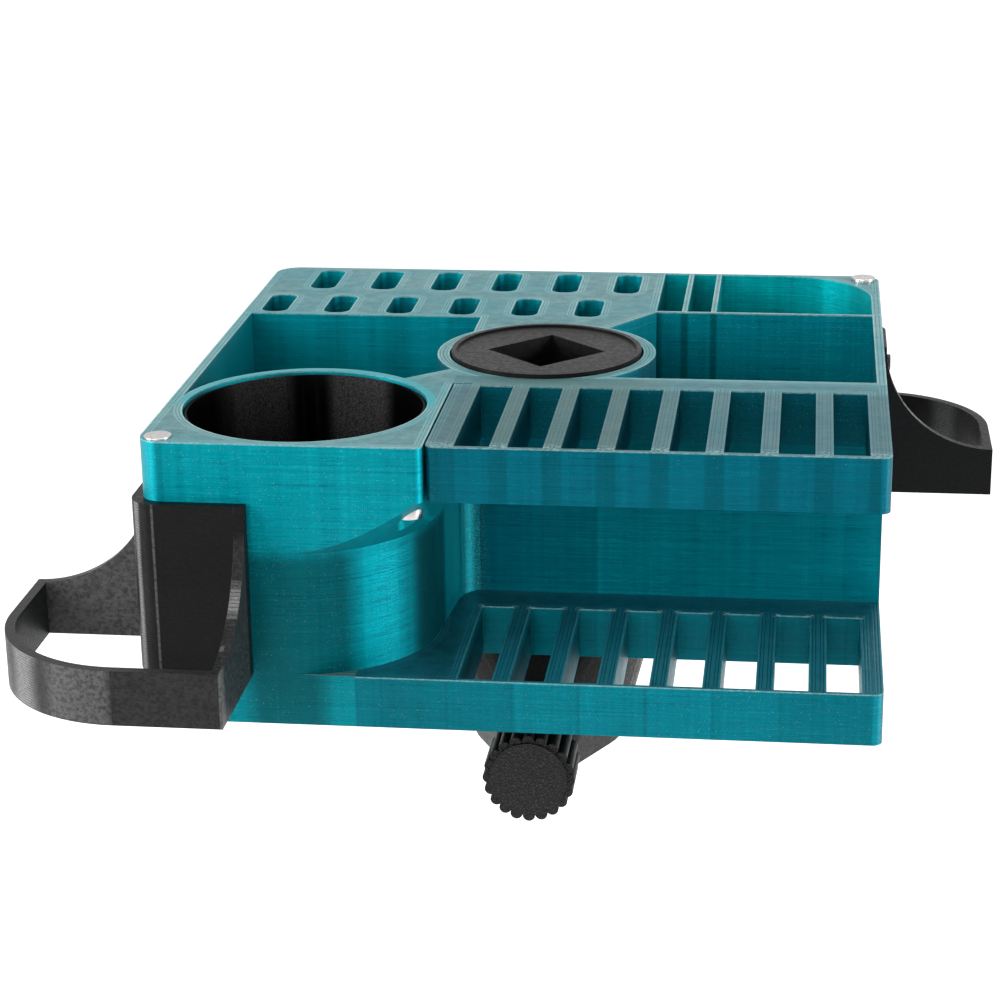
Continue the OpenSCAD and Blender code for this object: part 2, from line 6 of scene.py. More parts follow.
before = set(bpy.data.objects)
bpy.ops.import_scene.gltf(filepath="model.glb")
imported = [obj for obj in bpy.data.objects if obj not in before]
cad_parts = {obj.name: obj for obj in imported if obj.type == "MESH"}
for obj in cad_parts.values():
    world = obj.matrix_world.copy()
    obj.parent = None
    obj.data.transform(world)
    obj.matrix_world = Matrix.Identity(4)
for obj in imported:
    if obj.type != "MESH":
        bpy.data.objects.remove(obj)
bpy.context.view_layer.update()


# The camera stands a little above the caddy's top and slightly to its right.
# Its place, turn and lens come from the straight edges of the photograph.
camera_place = Vector((0.08041, -0.76426, 0.30070))
camera_azimuth = math.radians(7.143)
camera_elevation = math.radians(19.004)
camera_roll = math.radians(-0.794)
lens_mm = 91.5
sensor_mm = 36.0


def studio_camera():
    """A camera whose axes are worked out from its azimuth, elevation and roll."""
    sin_a, cos_a = math.sin(camera_azimuth), math.cos(camera_azimuth)
    sin_e, cos_e = math.sin(camera_elevation), math.cos(camera_elevation)
    back = Vector((sin_a * cos_e, -cos_a * cos_e, sin_e))
    level_right = Vector((cos_a, sin_a, 0))
    level_up = back.cross(level_right)
    right = level_right * math.cos(camera_roll) + level_up * math.sin(camera_roll)
    up = level_up * math.cos(camera_roll) - level_right * math.sin(camera_roll)
    data = bpy.data.cameras.new("camera")
    data.lens = lens_mm
    data.sensor_width = sensor_mm
    data.clip_start = 0.01
    data.clip_end = 20
    camera = bpy.data.objects.new("camera", data)
    turn = Matrix((right, up, back)).transposed().to_4x4()
    camera.matrix_world = Matrix.Translation(camera_place) @ turn
    bpy.context.scene.collection.objects.link(camera)
    bpy.context.scene.camera = camera


studio_camera()


# The clamp hub is one black print: a barrel, a round shoulder and a drop-shaped foot.
# It is printed upright, so its sides carry fine level lines and its flats a mottled skin.
# Its edges are softened a little, as beads of plastic are round.
mm = 0.001
black_layer_mm = 0.3
black_deep = (0.0030, 0.0030, 0.0032, 1)
black_dusty = (0.0068, 0.0068, 0.0068, 1)
# Pale grey for dust, and for the painted highlight on the front loop's band.
pale_dust_and_sheen = (0.130, 0.130, 0.130, 1)
# Pale grey of the painted highlight beads on rounded edges.
glint_grey = (0.30, 0.30, 0.30, 1)
glint_pitch_mm = 0.8
black_gloss = 0.09
black_line_depth_mm, black_streak_depth_mm, mottle_depth_mm = 0.05, 0.06, 0.16
black_edge_mm = 0.35


class Wire:
    """A socket that can be reckoned with: each sign or call adds one Math node."""

    def __init__(self, tree, socket):
        self.tree, self.socket = tree, socket

    def step(self, operation, b=0.0, c=0.0):
        node = self.tree.nodes.new("ShaderNodeMath")
        node.operation = operation
        for socket, value in zip(node.inputs, (self, b, c)):
            put(self.tree, socket, value)
        return Wire(self.tree, node.outputs[0])

    def __add__(self, b):
        return self.step("ADD", b)

    def __sub__(self, b):
        return self.step("SUBTRACT", b)

    def __rsub__(self, b):
        return self.step("MULTIPLY_ADD", -1.0, b)

    def __mul__(self, b):
        return self.step("MULTIPLY", b)

    def __abs__(self):
        return self.step("ABSOLUTE")

    def low(self, b):
        return self.step("MINIMUM", b)

    def high(self, b):
        return self.step("MAXIMUM", b)

    def rise(self, start, end, out_start=0.0, out_end=1.0):
        """A smooth step from out_start to out_end while the value goes from start to end."""
        node = self.tree.nodes.new("ShaderNodeMapRange")
        node.interpolation_type = "SMOOTHSTEP"
        for socket, number in zip(node.inputs, (self, start, end, out_start, out_end)):
            put(self.tree, socket, number)
        return Wire(self.tree, node.outputs[0])


def put(tree, socket, value):
    """Links a socket to a wire, or sets its constant."""
    if isinstance(value, Wire):
        tree.links.new(value.socket, socket)
    else:
        socket.default_value = value


def node_tree(name):
    """A new material with its tree cleared but for the output and one Principled shader."""
    material = bpy.data.materials.new(name)
    material.use_nodes = True
    tree = material.node_tree
    tree.nodes.clear()
    output = tree.nodes.new("ShaderNodeOutputMaterial")
    shader = tree.nodes.new("ShaderNodeBsdfPrincipled")
    tree.links.new(shader.outputs[0], output.inputs[0])
    return material, tree, shader


def blend_colour(tree, factor, a, b):
    """Colour a turned into colour b by factor."""
    node = tree.nodes.new("ShaderNodeMix")
    node.data_type = "RGBA"
    put(tree, node.inputs[0], factor)
    put(tree, node.inputs[6], a)
    put(tree, node.inputs[7], b)
    return Wire(tree, node.outputs[2])


def place_mm(tree):
    """The three Object coordinates in millimetres."""
    split = tree.nodes.new("ShaderNodeSeparateXYZ")
    tree.links.new(tree.nodes.new("ShaderNodeTexCoord").outputs["Object"], split.inputs[0])
    return [Wire(tree, socket) * (1 / mm) for socket in split.outputs]


def facing(tree):
    """The three parts of the face's own direction."""
    split = tree.nodes.new("ShaderNodeSeparateXYZ")
    tree.links.new(tree.nodes.new("ShaderNodeTexCoord").outputs["Normal"], split.inputs[0])
    return [Wire(tree, socket) for socket in split.outputs]


def cloud(tree, cell_mm, detail=2.0, roughness=0.5):
    """Noise on Object coordinates whose cells have their own length in mm along X, Y and Z."""
    mapping = tree.nodes.new("ShaderNodeMapping")
    mapping.inputs["Scale"].default_value = [1 / (mm * length) for length in cell_mm]
    tree.links.new(tree.nodes.new("ShaderNodeTexCoord").outputs["Object"], mapping.inputs["Vector"])
    noise = tree.nodes.new("ShaderNodeTexNoise")
    noise.inputs["Scale"].default_value = 1.0
    noise.inputs["Detail"].default_value = detail
    noise.inputs["Roughness"].default_value = roughness
    tree.links.new(mapping.outputs[0], noise.inputs["Vector"])
    return Wire(tree, noise.outputs[0])


def bead(along, pitch):
    """The rounded profile of beads side by side: 1 on each crest and 0 between two."""
    return abs((along * (math.pi / pitch)).step("SINE"))


def bump(tree, shader, height, depth_mm, before=None):
    """Adds a bump of the given depth to the shader's normal."""
    node = tree.nodes.new("ShaderNodeBump")
    node.inputs["Distance"].default_value = depth_mm * mm
    put(tree, node.inputs["Height"], height)
    if before is not None:
        tree.links.new(before, node.inputs["Normal"])
    tree.links.new(node.outputs[0], shader.inputs["Normal"])
    return node.outputs[0]


def black_print(name, ring_pitch_mm=None, dust_and_sheen_of=None, glints=0.0):
    """Satin black plastic: level beads on upright faces and a mottled skin.

    ring_pitch_mm puts rings on top faces, the dust argument gives the share of pale dust and
    painted highlight at a place, and glints is the share of painted highlight on rounded edges."""
    material, tree, shader = node_tree(name)
    x, y, z = place_mm(tree)
    face = facing(tree)
    flat = abs(face[2]).rise(0.6, 0.9)
    upright = 1.0 - flat
    mottle = cloud(tree, (1.3, 1.3, 1.1), 3.0)
    dust = cloud(tree, (0.35, 0.35, 0.35), 2.0)
    streak = cloud(tree, (30, 30, 0.5), 2.0)
    shade = mottle * 0.6 + dust * 0.4
    colour = blend_colour(tree, shade.rise(0.42, 0.68), black_deep, black_dusty)
    # Pale dust, and painted highlight on the band's round front and web.
    if dust_and_sheen_of:
        share = dust_and_sheen_of(x, y, face) * shade.rise(0.34, 0.62, 0.3, 1.0)
        colour = blend_colour(tree, share, colour, pale_dust_and_sheen)
    # Painted highlight: pale grey beads on rounded edges, where lamps would shine.
    if glints:
        along_x, along_y, along_z = [abs(part) for part in face]
        edge = along_x.high(along_y).high(along_z).rise(0.84, 0.73)
        beads = bead(z, glint_pitch_mm).rise(0.1, 0.7, 0.35, 1.0) * dust.rise(0.3, 0.6, 0.3, 1.0)
        colour = blend_colour(tree, edge * beads * glints, colour, glint_grey)
    put(tree, shader.inputs["Base Color"], colour)
    put(tree, shader.inputs["Roughness"], mottle.rise(0.3, 0.7, 0.28, 0.44))
    shader.inputs["Specular IOR Level"].default_value = black_gloss
    lines = bead(z, black_layer_mm) * upright
    if ring_pitch_mm:
        lines = lines + bead((x * x + y * y).step("SQRT"), ring_pitch_mm) * flat
    first = bump(tree, shader, lines, black_line_depth_mm)
    second = bump(tree, shader, streak * upright, black_streak_depth_mm, first)
    bump(tree, shader, mottle, mottle_depth_mm, second)
    return material


def dress(node, material):
    """Gives a carried-over node one material in every slot."""
    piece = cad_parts[node]
    piece.data.materials.clear()
    piece.data.materials.append(material)
    return piece


def soften(piece, radius_mm, angle=35):
    """Rounds a piece's sharp edges with modifiers, after its loose triangles are joined."""
    weld = piece.modifiers.new("weld", "WELD")
    weld.merge_threshold = 0.001 * mm
    flatten = piece.modifiers.new("flatten", "DECIMATE")
    flatten.decimate_type = "DISSOLVE"
    flatten.angle_limit = math.radians(0.5)
    bevel = piece.modifiers.new("bevel", "BEVEL")
    bevel.width = radius_mm * mm
    bevel.segments = 2
    bevel.limit_method = "ANGLE"
    bevel.angle_limit = math.radians(angle)
    bevel.use_clamp_overlap = True


black = black_print("black_print")
soften(dress("clamp_hub", black), black_edge_mm)


# The black disc is pegged onto the barrel. It is printed flat with a raised rim,
# in rings round the axis, and its face is left bare.
flange_ring_mm = 0.9
black_rings = black_print("black_rings", flange_ring_mm)
soften(dress("hub_flange", black_rings), black_edge_mm)


# The nut sits in a slot of the nose, and the screw with its hexagon head turns in it.
# Both are plain zinc-plated steel. The pressure pad at the screw's tip is black plastic.
zinc_dull = (0.40, 0.41, 0.42, 1)
zinc_bright = (0.58, 0.59, 0.60, 1)
steel_edge_mm = 0.3


def zinc_plate():
    """Zinc plate: fine cloudy metal, brighter where it is smooth."""
    material, tree, shader = node_tree("zinc_plate")
    bloom = cloud(tree, (1.4, 1.4, 1.4), 4.0)
    put(tree, shader.inputs["Base Color"], blend_colour(tree, bloom, zinc_dull, zinc_bright))
    shader.inputs["Metallic"].default_value = 1.0
    put(tree, shader.inputs["Roughness"], bloom.rise(0.3, 0.7, 0.28, 0.45))
    bump(tree, shader, bloom, 0.03)
    return material


zinc = zinc_plate()
soften(dress("clamp_nut", zinc), steel_edge_mm)
soften(dress("clamp_screw", zinc), steel_edge_mm)
soften(dress("pressure_pad", black), black_edge_mm)


# The knob is a black print cast round the screw's head. Its face is pebbled,
# as a print comes off a textured plate, and its rim is fluted.
pebble_mm = 0.75
pebble_depth_mm, knob_grain_depth_mm = 0.35, 0.25
knob_edge_mm, flute_angle = 0.25, 50
knob_deep = (0.004, 0.004, 0.004, 1)
knob_pebble_highlight = (0.060, 0.060, 0.060, 1)


def pebbled_black():
    """Black plastic whose front face is a field of small pebbles, with painted highlights on their crests.
    """
    material, tree, shader = node_tree("pebbled_black")
    front = abs(facing(tree)[1]).rise(0.6, 0.9)
    cells = tree.nodes.new("ShaderNodeTexVoronoi")
    cells.inputs["Scale"].default_value = 1 / (pebble_mm * mm)
    tree.links.new(tree.nodes.new("ShaderNodeTexCoord").outputs["Object"], cells.inputs["Vector"])
    pebble = Wire(tree, cells.outputs["Distance"]).rise(0.62, 0.15)
    grain = cloud(tree, (0.6, 0.6, 0.6), 3.0, 0.6)
    # Painted highlight: the pebbles' crests on the front face are paler.
    light = (pebble * front) * grain.rise(0.35, 0.65)
    put(tree, shader.inputs["Base Color"], blend_colour(tree, light, knob_deep, knob_pebble_highlight))
    shader.inputs["Roughness"].default_value = 0.42
    shader.inputs["Specular IOR Level"].default_value = 0.2
    first = bump(tree, shader, pebble * front, pebble_depth_mm)
    bump(tree, shader, grain, knob_grain_depth_mm, first)
    return material


soften(dress("clamp_knob", pebbled_black()), knob_edge_mm, flute_angle)


# The caddy is printed in a silky teal plastic, standing as it is used. Upright faces show
# level beads and cloudy streaks. Top faces show three beads that follow each edge, and the
# slanting lines of the skin between them.
layer_mm = 0.32
bead_mm = 0.9
edge_beads = 3
top_z = 85
teal_deep = (0.0, 0.125, 0.160, 1)
teal_mid = (0.0, 0.235, 0.285, 1)
teal_light = (0.002, 0.370, 0.420, 1)
skin_deep = (0.010, 0.085, 0.105, 1)
skin_light = (0.175, 0.345, 0.355, 1)
# Yellow tint of a painted warm reflection.
warm_silk = (0.17, 0.20, 0.15, 1)
# Pale teal of the painted highlights: rims, glints and sparks on edges, and specks.
edge_highlight = (0.42, 0.62, 0.62, 1)
silk_tint = (0.0, 0.75, 0.85, 1)
silk_metal = 0.16
blue_power = 0.78
right_shine = math.radians(46)
left_shine = math.radians(40)
# Middle of a strip of denser painted glints at the recess' left corner.
sparkle_x, sparkle_y = -21.0, -29.0
bead_depth_mm, scuff_depth_mm, grain_depth_mm = 0.05, 0.10, 0.05


def tinted(tree, colour, tint, factor=1.0):
    """A colour times a constant tint and a factor."""
    product = tree.nodes.new("ShaderNodeVectorMath")
    product.operation = "MULTIPLY"
    put(tree, product.inputs[0], colour)
    product.inputs[1].default_value = tint
    scale = tree.nodes.new("ShaderNodeVectorMath")
    scale.operation = "SCALE"
    tree.links.new(product.outputs[0], scale.inputs[0])
    put(tree, scale.inputs["Scale"], factor)
    return Wire(tree, scale.outputs[0])


def shine_on(face_x, face_y):
    """Painted highlight: a factor above 1 where an upright face turns to the lamp at the right or at the
    left.
    """
    to_right = face_x * math.sin(right_shine) - face_y * math.cos(right_shine)
    to_left = face_x * -math.sin(left_shine) - face_y * math.cos(left_shine)
    return to_right.rise(0.93, 1.0, 1.0, 1.7) * to_left.rise(0.95, 1.0, 1.0, 1.3)


def teal_side(tree, place, face, shade, painted_tone, level, bands):
    """Colour of the upright faces: three teals by shade, times the tone of painted light and shade,
    the bands and the painted shine, then fine painted glints, and painted highlight sparks in the
    top layer at the given level.

    A darker piece is also bluer. Faces that look back have none of that painted tone, so the back wall is
    even."""
    x, y, z = place
    face_x, face_y = face[:2]
    silk = blend_colour(tree, shade.rise(0.36, 0.50), teal_deep, teal_mid)
    silk = blend_colour(tree, shade.rise(0.50, 0.64), silk, teal_light)
    factor = shine_on(face_x, face_y)
    if bands:
        factor = bands(x, y, z) * factor
    toned = tinted(tree, silk, (painted_tone, painted_tone, painted_tone ** blue_power), factor)
    side = blend_colour(tree, face_y.rise(0.2, 0.5), toned, silk)
    corner = abs(x - sparkle_x).rise(7.0, 3.0) * abs(y - sparkle_y).rise(6.0, 4.0)
    denser = corner * face_y.rise(-0.2, -0.5) * 0.13
    # Painted glints: fine pale sparkles on the upright faces.
    glint = (cloud(tree, (0.32, 0.32, 0.32), 1.0) + denser).rise(0.70, 0.80)
    side = blend_colour(tree, glint * 0.4, side, edge_highlight)
    # Painted highlight sparks along the top layer.
    lip = z.rise(level - 0.55, level - 0.2) * z.rise(level + 0.5, level + 0.2)
    spark = cloud(tree, (1.1, 1.1, 0.5), 2.0).rise(0.35, 0.65, 0.35, 0.8)
    return blend_colour(tree, lip * spark * 0.7, side, edge_highlight)


def teal_top(tree, x, y, edge, haze, grain, top_tint=(1, 1, 1), tops=None,
             silky=None, specks=None, warm=None):
    """Colour of the top faces, with the two patterns that also raise them: beads and scuffs.

    Beads follow each edge, and slanting ones fill the skin between; a painted highlight rims each
    edge. top_tint and tops are factors on the brightness. silky is the share painted in light teal as
    a painted silk highlight, specks that of rough pale blobs and painted sparkle, and warm that of a
    painted warm reflection."""
    near = edge.rise(bead_mm * edge_beads, bead_mm * (edge_beads - 0.3))
    skin = bead((x + y) * math.sqrt(0.5), bead_mm)
    lines = skin * (1.0 - near) + bead(edge, bead_mm) * near
    scuff = cloud(tree, (4.5, 4.5, 4.5), 5.0, 0.7)
    groove = lines.rise(0.0, 0.55) * (near * 0.55 + 0.35) + (1.0 - near) * 0.2
    weave = groove * 0.5 + scuff * 0.8 + grain * 0.3
    top = blend_colour(tree, weave.rise(0.45, 1.10), skin_deep, skin_light)
    # Painted highlight: a pale rim along each top edge.
    rim_highlight = edge.rise(0.5, 0.2) * cloud(tree, (2.0, 2.0, 2.0), 2.0).rise(0.3, 0.6, 0.35, 1.0)
    top = blend_colour(tree, rim_highlight, top, edge_highlight)
    top = blend_colour(tree, haze.rise(0.42, 0.66) * 0.4, top, teal_mid)
    # Painted reflection: a warm yellow tint on some bars.
    if warm:
        top = blend_colour(tree, warm(x, y) * scuff.rise(0.4, 0.6, 0.35, 0.8), top, warm_silk)
    ribs = lines.rise(0.05, 0.6, 0.50, 1.16) * near + (1.0 - near) * lines.rise(0.05, 0.6, 0.86, 1.03)
    top = tinted(tree, top, top_tint, tops(x, y) * ribs if tops else ribs)
    if specks:
        blobs = cloud(tree, (0.8, 0.8, 0.8), 2.0).rise(0.48, 0.58)
        top = blend_colour(tree, specks(x, y) * blobs, top, edge_highlight)
    # Painted silk highlight in the upright faces' light teal.
    if silky:
        top = blend_colour(tree, silky(x, y), top, teal_light)
    return top, lines, scuff


def teal_print(name, edge_of, painted_tone=1.0, level=top_z, bands=None, **top_look):
    """Silky teal plastic whose pattern follows how the print was laid down.

    edge_of gives the distance in mm from a point of the top face to its nearest edge.
    The tone is the piece's painted light and shade and bands are factors by place, mostly painted
    light and shade, both on the upright faces' brightness; top_look goes to teal_top.
    The shade is a weighted sum of clouds: long, short and fine level streaks, upright
    columns, haze and grain."""
    material, tree, shader = node_tree(name)
    x, y, z = place_mm(tree)
    face = facing(tree)
    flat = face[2].rise(0.6, 0.9)
    upright = 1.0 - flat
    long_streak = cloud(tree, (90, 90, 0.55), 3.0, 0.65)
    short_streak = cloud(tree, (6, 6, 0.7), 2.0)
    fine_streak = cloud(tree, (28, 28, 0.34), 1.0)
    column = cloud(tree, (2.6, 2.6, 140), 2.0, 0.6)
    haze = cloud(tree, (26, 26, 34), 3.0)
    grain = cloud(tree, (0.45, 0.45, 0.45), 2.0)
    shade = long_streak * 0.28 + short_streak * 0.14 + column * 0.20 + haze * 0.16
    shade = shade + fine_streak * 0.12 + grain * 0.10
    side = teal_side(tree, (x, y, z), face, shade, painted_tone, level, bands)
    top, lines, scuff = teal_top(tree, x, y, edge_of(x, y), haze, grain, **top_look)
    put(tree, shader.inputs["Base Color"], blend_colour(tree, flat, side, top))
    put(tree, shader.inputs["Roughness"], shade.rise(0.4, 0.62, 0.30, 0.42))
    shader.inputs["Metallic"].default_value = silk_metal
    shader.inputs["Specular Tint"].default_value = silk_tint
    shader.inputs["Specular IOR Level"].default_value = 0.5
    beads = bead(z, layer_mm) * upright
    first = bump(tree, shader, beads + lines * flat, bead_depth_mm)
    second = bump(tree, shader, long_streak * upright + scuff * flat, scuff_depth_mm, first)
    bump(tree, shader, grain, grain_depth_mm, second)
    return material


# The cup block: a round cup that grows into a square block, with a web to the ring.
# Its floor carries the liner. One magnet sits in its top and one under its overhang.
body_left, body_right = -106.0, 105.0
body_front, body_back = -101.0, 104.5
cup_x, cup_y = -64.8, -62.3
cup_r, cup_out_r = 35.9, 38.7
slit_x, slit_back_y = -24.6, -38.0
web_angle = math.radians(50)
web_turn = math.radians(41.7)
spread_low, spread_high = 49.0, 55.0
# Places of the painted highlight and shade lines inside the left edge and the slit.
left_highlight_in, left_shade_in, slit_highlight_in = 4.6, 6.8, 1.3


def radius_from(x, y, centre_x, centre_y):
    """Distance from a point to an upright axis."""
    dx, dy = x - centre_x, y - centre_y
    return (dx * dx + dy * dy).step("SQRT")


def cup_edge(x, y):
    """Nearest of the cup's mouth, the left and front faces, the slit, the rear arc and the web."""
    dx, dy = x - cup_x, y - cup_y
    from_cup = radius_from(x, y, cup_x, cup_y)
    behind_web = dy * math.cos(web_angle) - dx * math.sin(web_angle)
    rear_arc = (cup_out_r - from_cup).high(behind_web * -1.0).high(dy * -1.0)
    web_x, web_y = (cup_out_r * math.cos(web_angle), cup_out_r * math.sin(web_angle))
    web = ((dx - web_x) * math.sin(web_turn) - (dy - web_y) * math.cos(web_turn)).high(behind_web)
    slit = (slit_x - x).high(y - slit_back_y)
    return (from_cup - cup_r).low(x - body_left).low(y - body_front).low(slit).low(rear_arc).low(web)


def cup_painted_light(x, y, z):
    """Painted light and shade on the cup: below the block the round cup is painted darker, as painted
    shadow, but for a painted shine of the silk on its front right that fades as it turns right.
    The block has painted highlight lines beside its left edge and the slit, and a painted shade line
    inside the left one."""
    from_cup = radius_from(x, y, cup_x, cup_y)
    along = (x - cup_x) * math.sin(right_shine) - (y - cup_y) * math.cos(right_shine)
    painted_shine = along.rise(cup_out_r * 0.925, cup_out_r, 0.34, 1.05)
    turned = (x - cup_x).rise(cup_out_r * 0.84, cup_out_r * 0.97, 1.0, 0.8)
    round_part = from_cup.rise(cup_out_r + 2.5, cup_out_r + 0.6) * z.rise(spread_high, spread_low)
    left_highlight = abs(x - body_left - left_highlight_in).rise(1.2, 0.3) * 0.6
    left_shade = abs(x - body_left - left_shade_in).rise(1.3, 0.4) * 0.25
    slit_highlight = abs(x - slit_x + slit_highlight_in).rise(0.9, 0.2) * 0.5
    flat_part = left_highlight - left_shade + slit_highlight + 1.0
    return painted_shine * turned * round_part + (1.0 - round_part) * flat_part


def cup_rim_highlight(x, y):
    """The thin rim round the back of the cup's mouth gets a painted silk highlight in light teal."""
    from_cup = radius_from(x, y, cup_x, cup_y)
    return (y - cup_y).rise(-6.0, 8.0, 0.0, 0.9) * from_cup.rise(cup_out_r, cup_out_r - 0.6)


# The cup block's faces carry painted light and shade, and the rim of its mouth a painted highlight.
dress("cup_block", teal_print("teal_cup", cup_edge, 0.95, bands=cup_painted_light, silky=cup_rim_highlight))


# The bin behind the cup has one wall of its own and a floor, both part of the teal print.
left_wall = 3.0


def left_bin_edge(x, y):
    """Nearest side of the left wall, or of the floor inside it."""
    return (x - body_left).low(abs(x - body_left - left_wall))


dress("left_bin", teal_print("teal_left_bin", left_bin_edge))


# The slotted block has two staggered rows of holes with round corners.
# On its front wall painted shadow makes bands in front of the holes darker, leaving paler columns between
# them.
block_front_y, block_right_x = 41.0, 31.3
hole_w, hole_r, hole_pitch = 8.8, 3.6, 21.0
first_hole_x, row_shift = -96.3, 10.5
row_holes = 6
front_row = (54.5, 22.6)
back_row = (87.8, 26.0)
bridge_left_x = -26.0
bridge_right = (16.9, 29.7)
divider_y, divider_t = 51.0, 1.4


def from_nearest(x, first, pitch, marks=None):
    """Distance from the nearest of marks that stand at a pitch from the first one.
    Without a number of marks they go on both ways."""
    place = ((x - first) * (1 / pitch) + 0.5).step("FLOOR")
    if marks:
        place = place.high(0.0).low(marks - 1.0)
    return abs(x - first - place * pitch)


def row_edge(x, y, first_x, centre_y, length):
    """Distance to the nearest hole of one row: a box with rounded corners, repeated along X."""
    dx = from_nearest(x, first_x, hole_pitch, row_holes) - (hole_w / 2 - hole_r)
    dy = abs(y - centre_y) - (length / 2 - hole_r)
    out_x, out_y = dx.high(0.0), dy.high(0.0)
    return (out_x * out_x + out_y * out_y).step("SQRT") - hole_r


def block_edge(x, y):
    """Nearest of the holes and the block's outer faces, which a slanted face joins to the ring."""
    front = row_edge(x, y, first_hole_x, *front_row)
    back = row_edge(x, y, first_hole_x + row_shift, *back_row)
    front_face = (y - block_front_y).high(x - bridge_left_x)
    run_x, run_y = block_right_x - bridge_right[0], divider_y - bridge_right[1]
    run = math.hypot(run_x, run_y)
    slant = (y - divider_y) * (run_x / run) - (x - block_right_x) * (run_y / run)
    faces = (x - body_left).low(body_back - y).low(front_face).low(block_right_x - x).low(slant)
    return front.low(back).low(faces)


def hole_shadows(x, y, z):
    """Painted shadow: upright bands, a little darker in front of each hole."""
    return from_nearest(x, first_hole_x, hole_pitch).rise(3.0, 6.5, 0.84, 1.0)


# The front wall is toned a little darker, as painted shade.
dress("slot_block_front", teal_print("teal_block_front", block_edge, 0.85, bands=hole_shadows))
dress("slot_block_back", teal_print("teal_block_back", block_edge))


# The ring turns on the hub's barrel and holds the black disc in its recess.
recess_r, ring_r = 30.4, 34.2


def ring_edge(x, y):
    """Distance from the recess or from the ring's outside."""
    from_axis = radius_from(x, y, 0.0, 0.0)
    return (from_axis - recess_r).low(ring_r - from_axis)


# The ring is toned much darker, as painted shade in the recess.
dress("swivel_ring", teal_print("teal_ring", ring_edge, 0.5))


# The large right bin has a thin cross wall behind it. On that wall, painted shadow makes two dark
# upright bands before the thin dividers behind it.
recess_y, recess_wall = -28.8, 1.8
right_wall = 3.0
fin_first_x, fin_pitch, fin_t = 39.6, 9.6, 1.8
fin_count = 2
shadow_start_y = 45.0


def right_bin_edge(x, y):
    """Distance from the bin's inside, its right face, or its rear face."""
    inside = (x - (body_right - right_wall)).high(recess_y + recess_wall - y).high(y - divider_y)
    return abs(inside).low(body_right - x).low(divider_y + divider_t - y)


def fin_shadows(x, y, z):
    """Painted shadow on the cross wall: dark bands before the two dividers and beside the block.
    In front of it, painted shade below the rack."""
    fins = from_nearest(x, fin_first_x + fin_t / 2, fin_pitch, fin_count).rise(0.6, 1.7, 0.42, 1.0)
    corner = (x - block_right_x).rise(0.3, 2.6, 0.4, 1.0)
    bands = fins * corner
    cross_wall = (y - shadow_start_y).rise(0.0, 1.0)
    under_rack = z.rise(50.0, 62.0, 1.0, 0.5)
    return bands * cross_wall + (1.0 - cross_wall) * under_rack


# The bin's faces are toned darker, as painted shade.
dress("right_bin", teal_print("teal_right_bin", right_bin_edge, 0.72, bands=fin_shadows))


# The rear bin has two thin dividers and a large rounded corner. Its faces that do not look back are
# painted brighter, as painted light glowing through its thin rear wall.
rear_inner_y = 103.3
bin_corner_r = 29.0
rear_painted_light = 1.6


def rear_bin_edge(x, y):
    """Nearest of the dividers' and walls' faces, with the rounded corner."""
    main_right = body_right - right_wall
    past_x = (x - (main_right - bin_corner_r)).high(0.0)
    past_y = (y - (rear_inner_y - bin_corner_r)).high(0.0)
    corner = abs((past_x * past_x + past_y * past_y).step("SQRT") - bin_corner_r)
    nearest = corner.low(body_back - y).low(body_right - x).low(abs(y - divider_y - divider_t))
    for fin_face_x in (fin_first_x, fin_first_x + fin_t):
        nearest = nearest.low(from_nearest(x, fin_face_x, fin_pitch, fin_count))
    return nearest.low(abs(x - block_right_x))


dress("rear_bin", teal_print("teal_rear_bin", rear_bin_edge, rear_painted_light))


# The upper rack is a comb of bars between a rail and a thin front lip. The lip lets light
# through, and painted shade makes it darker where a bar meets it. Bars near the middle carry a
# painted warm reflection.
slot_w, slot_pitch, slot_count = 10.0, 15.0, 8
last_slot_x = 94.0
upper_front_y = -99.2
upper_slots = (-98.0, -38.6)
rack_left_x = -24.0
lip_back_y = -96.0
end_highlight_in = 2.2
warm_left_x, warm_right_x, warm_back_y = -22.0, 48.0, -26.0


def slot_offset(x):
    """How far a point is from the middle of its nearest slot, along X."""
    first_x = last_slot_x - slot_pitch * (slot_count - 1)
    return from_nearest(x, first_x, slot_pitch, slot_count)


def slots_edge(x, y, front, back):
    """Distance from the nearest of the tool slots."""
    middle, half = (front + back) / 2, (back - front) / 2
    return (slot_offset(x) - slot_w / 2).high(abs(y - middle) - half)


def upper_edge(x, y):
    """Nearest of the slots, the rack's outer faces, the slit and the flange's recess."""
    slots = slots_edge(x, y, *upper_slots)
    rail = (recess_y - y).high(ring_r + 1.0 - x)
    slit = (x - rack_left_x).high(y - slit_back_y)
    faces = (y - upper_front_y).low(body_right - x).low(rail).low(slit)
    return abs(slots).low(faces).low(radius_from(x, y, 0.0, 0.0) - recess_r)


def end_highlight(x):
    """Share of a painted highlight line just inside a rack's right end."""
    return abs(x - body_right + end_highlight_in).rise(1.1, 0.3)


def lip_bands(x, y, z):
    """Painted shade: the front lip is darker in front of each bar, and the slots' walls are darker still.
    A painted highlight line lies near the rack's right end.
    """
    bars = slot_offset(x).rise(slot_w / 2 - 0.8, slot_w / 2 + 0.4, 1.08, 0.76)
    lip = (y - lip_back_y).rise(0.0, -1.0)
    return (bars + end_highlight(x) * 0.7) * lip + (1.0 - lip) * 0.6


def bar_ends(x, y):
    """Rough pale blobs, partly painted sparkle, lie where each bar meets the lip."""
    on_bar = slot_offset(x).rise(slot_w / 2 - 0.4, slot_w / 2 + 0.2)
    return on_bar * (y - upper_slots[0]).rise(5.0, 0.5, 0.0, 0.55)


def warm_bars(x, y):
    """Painted warm reflection: the bars near the disc are tinted yellower."""
    across = (x - warm_left_x).rise(0.0, 8.0) * (x - warm_right_x).rise(0.0, -18.0)
    return across * (y - warm_back_y).rise(2.0, -3.0)


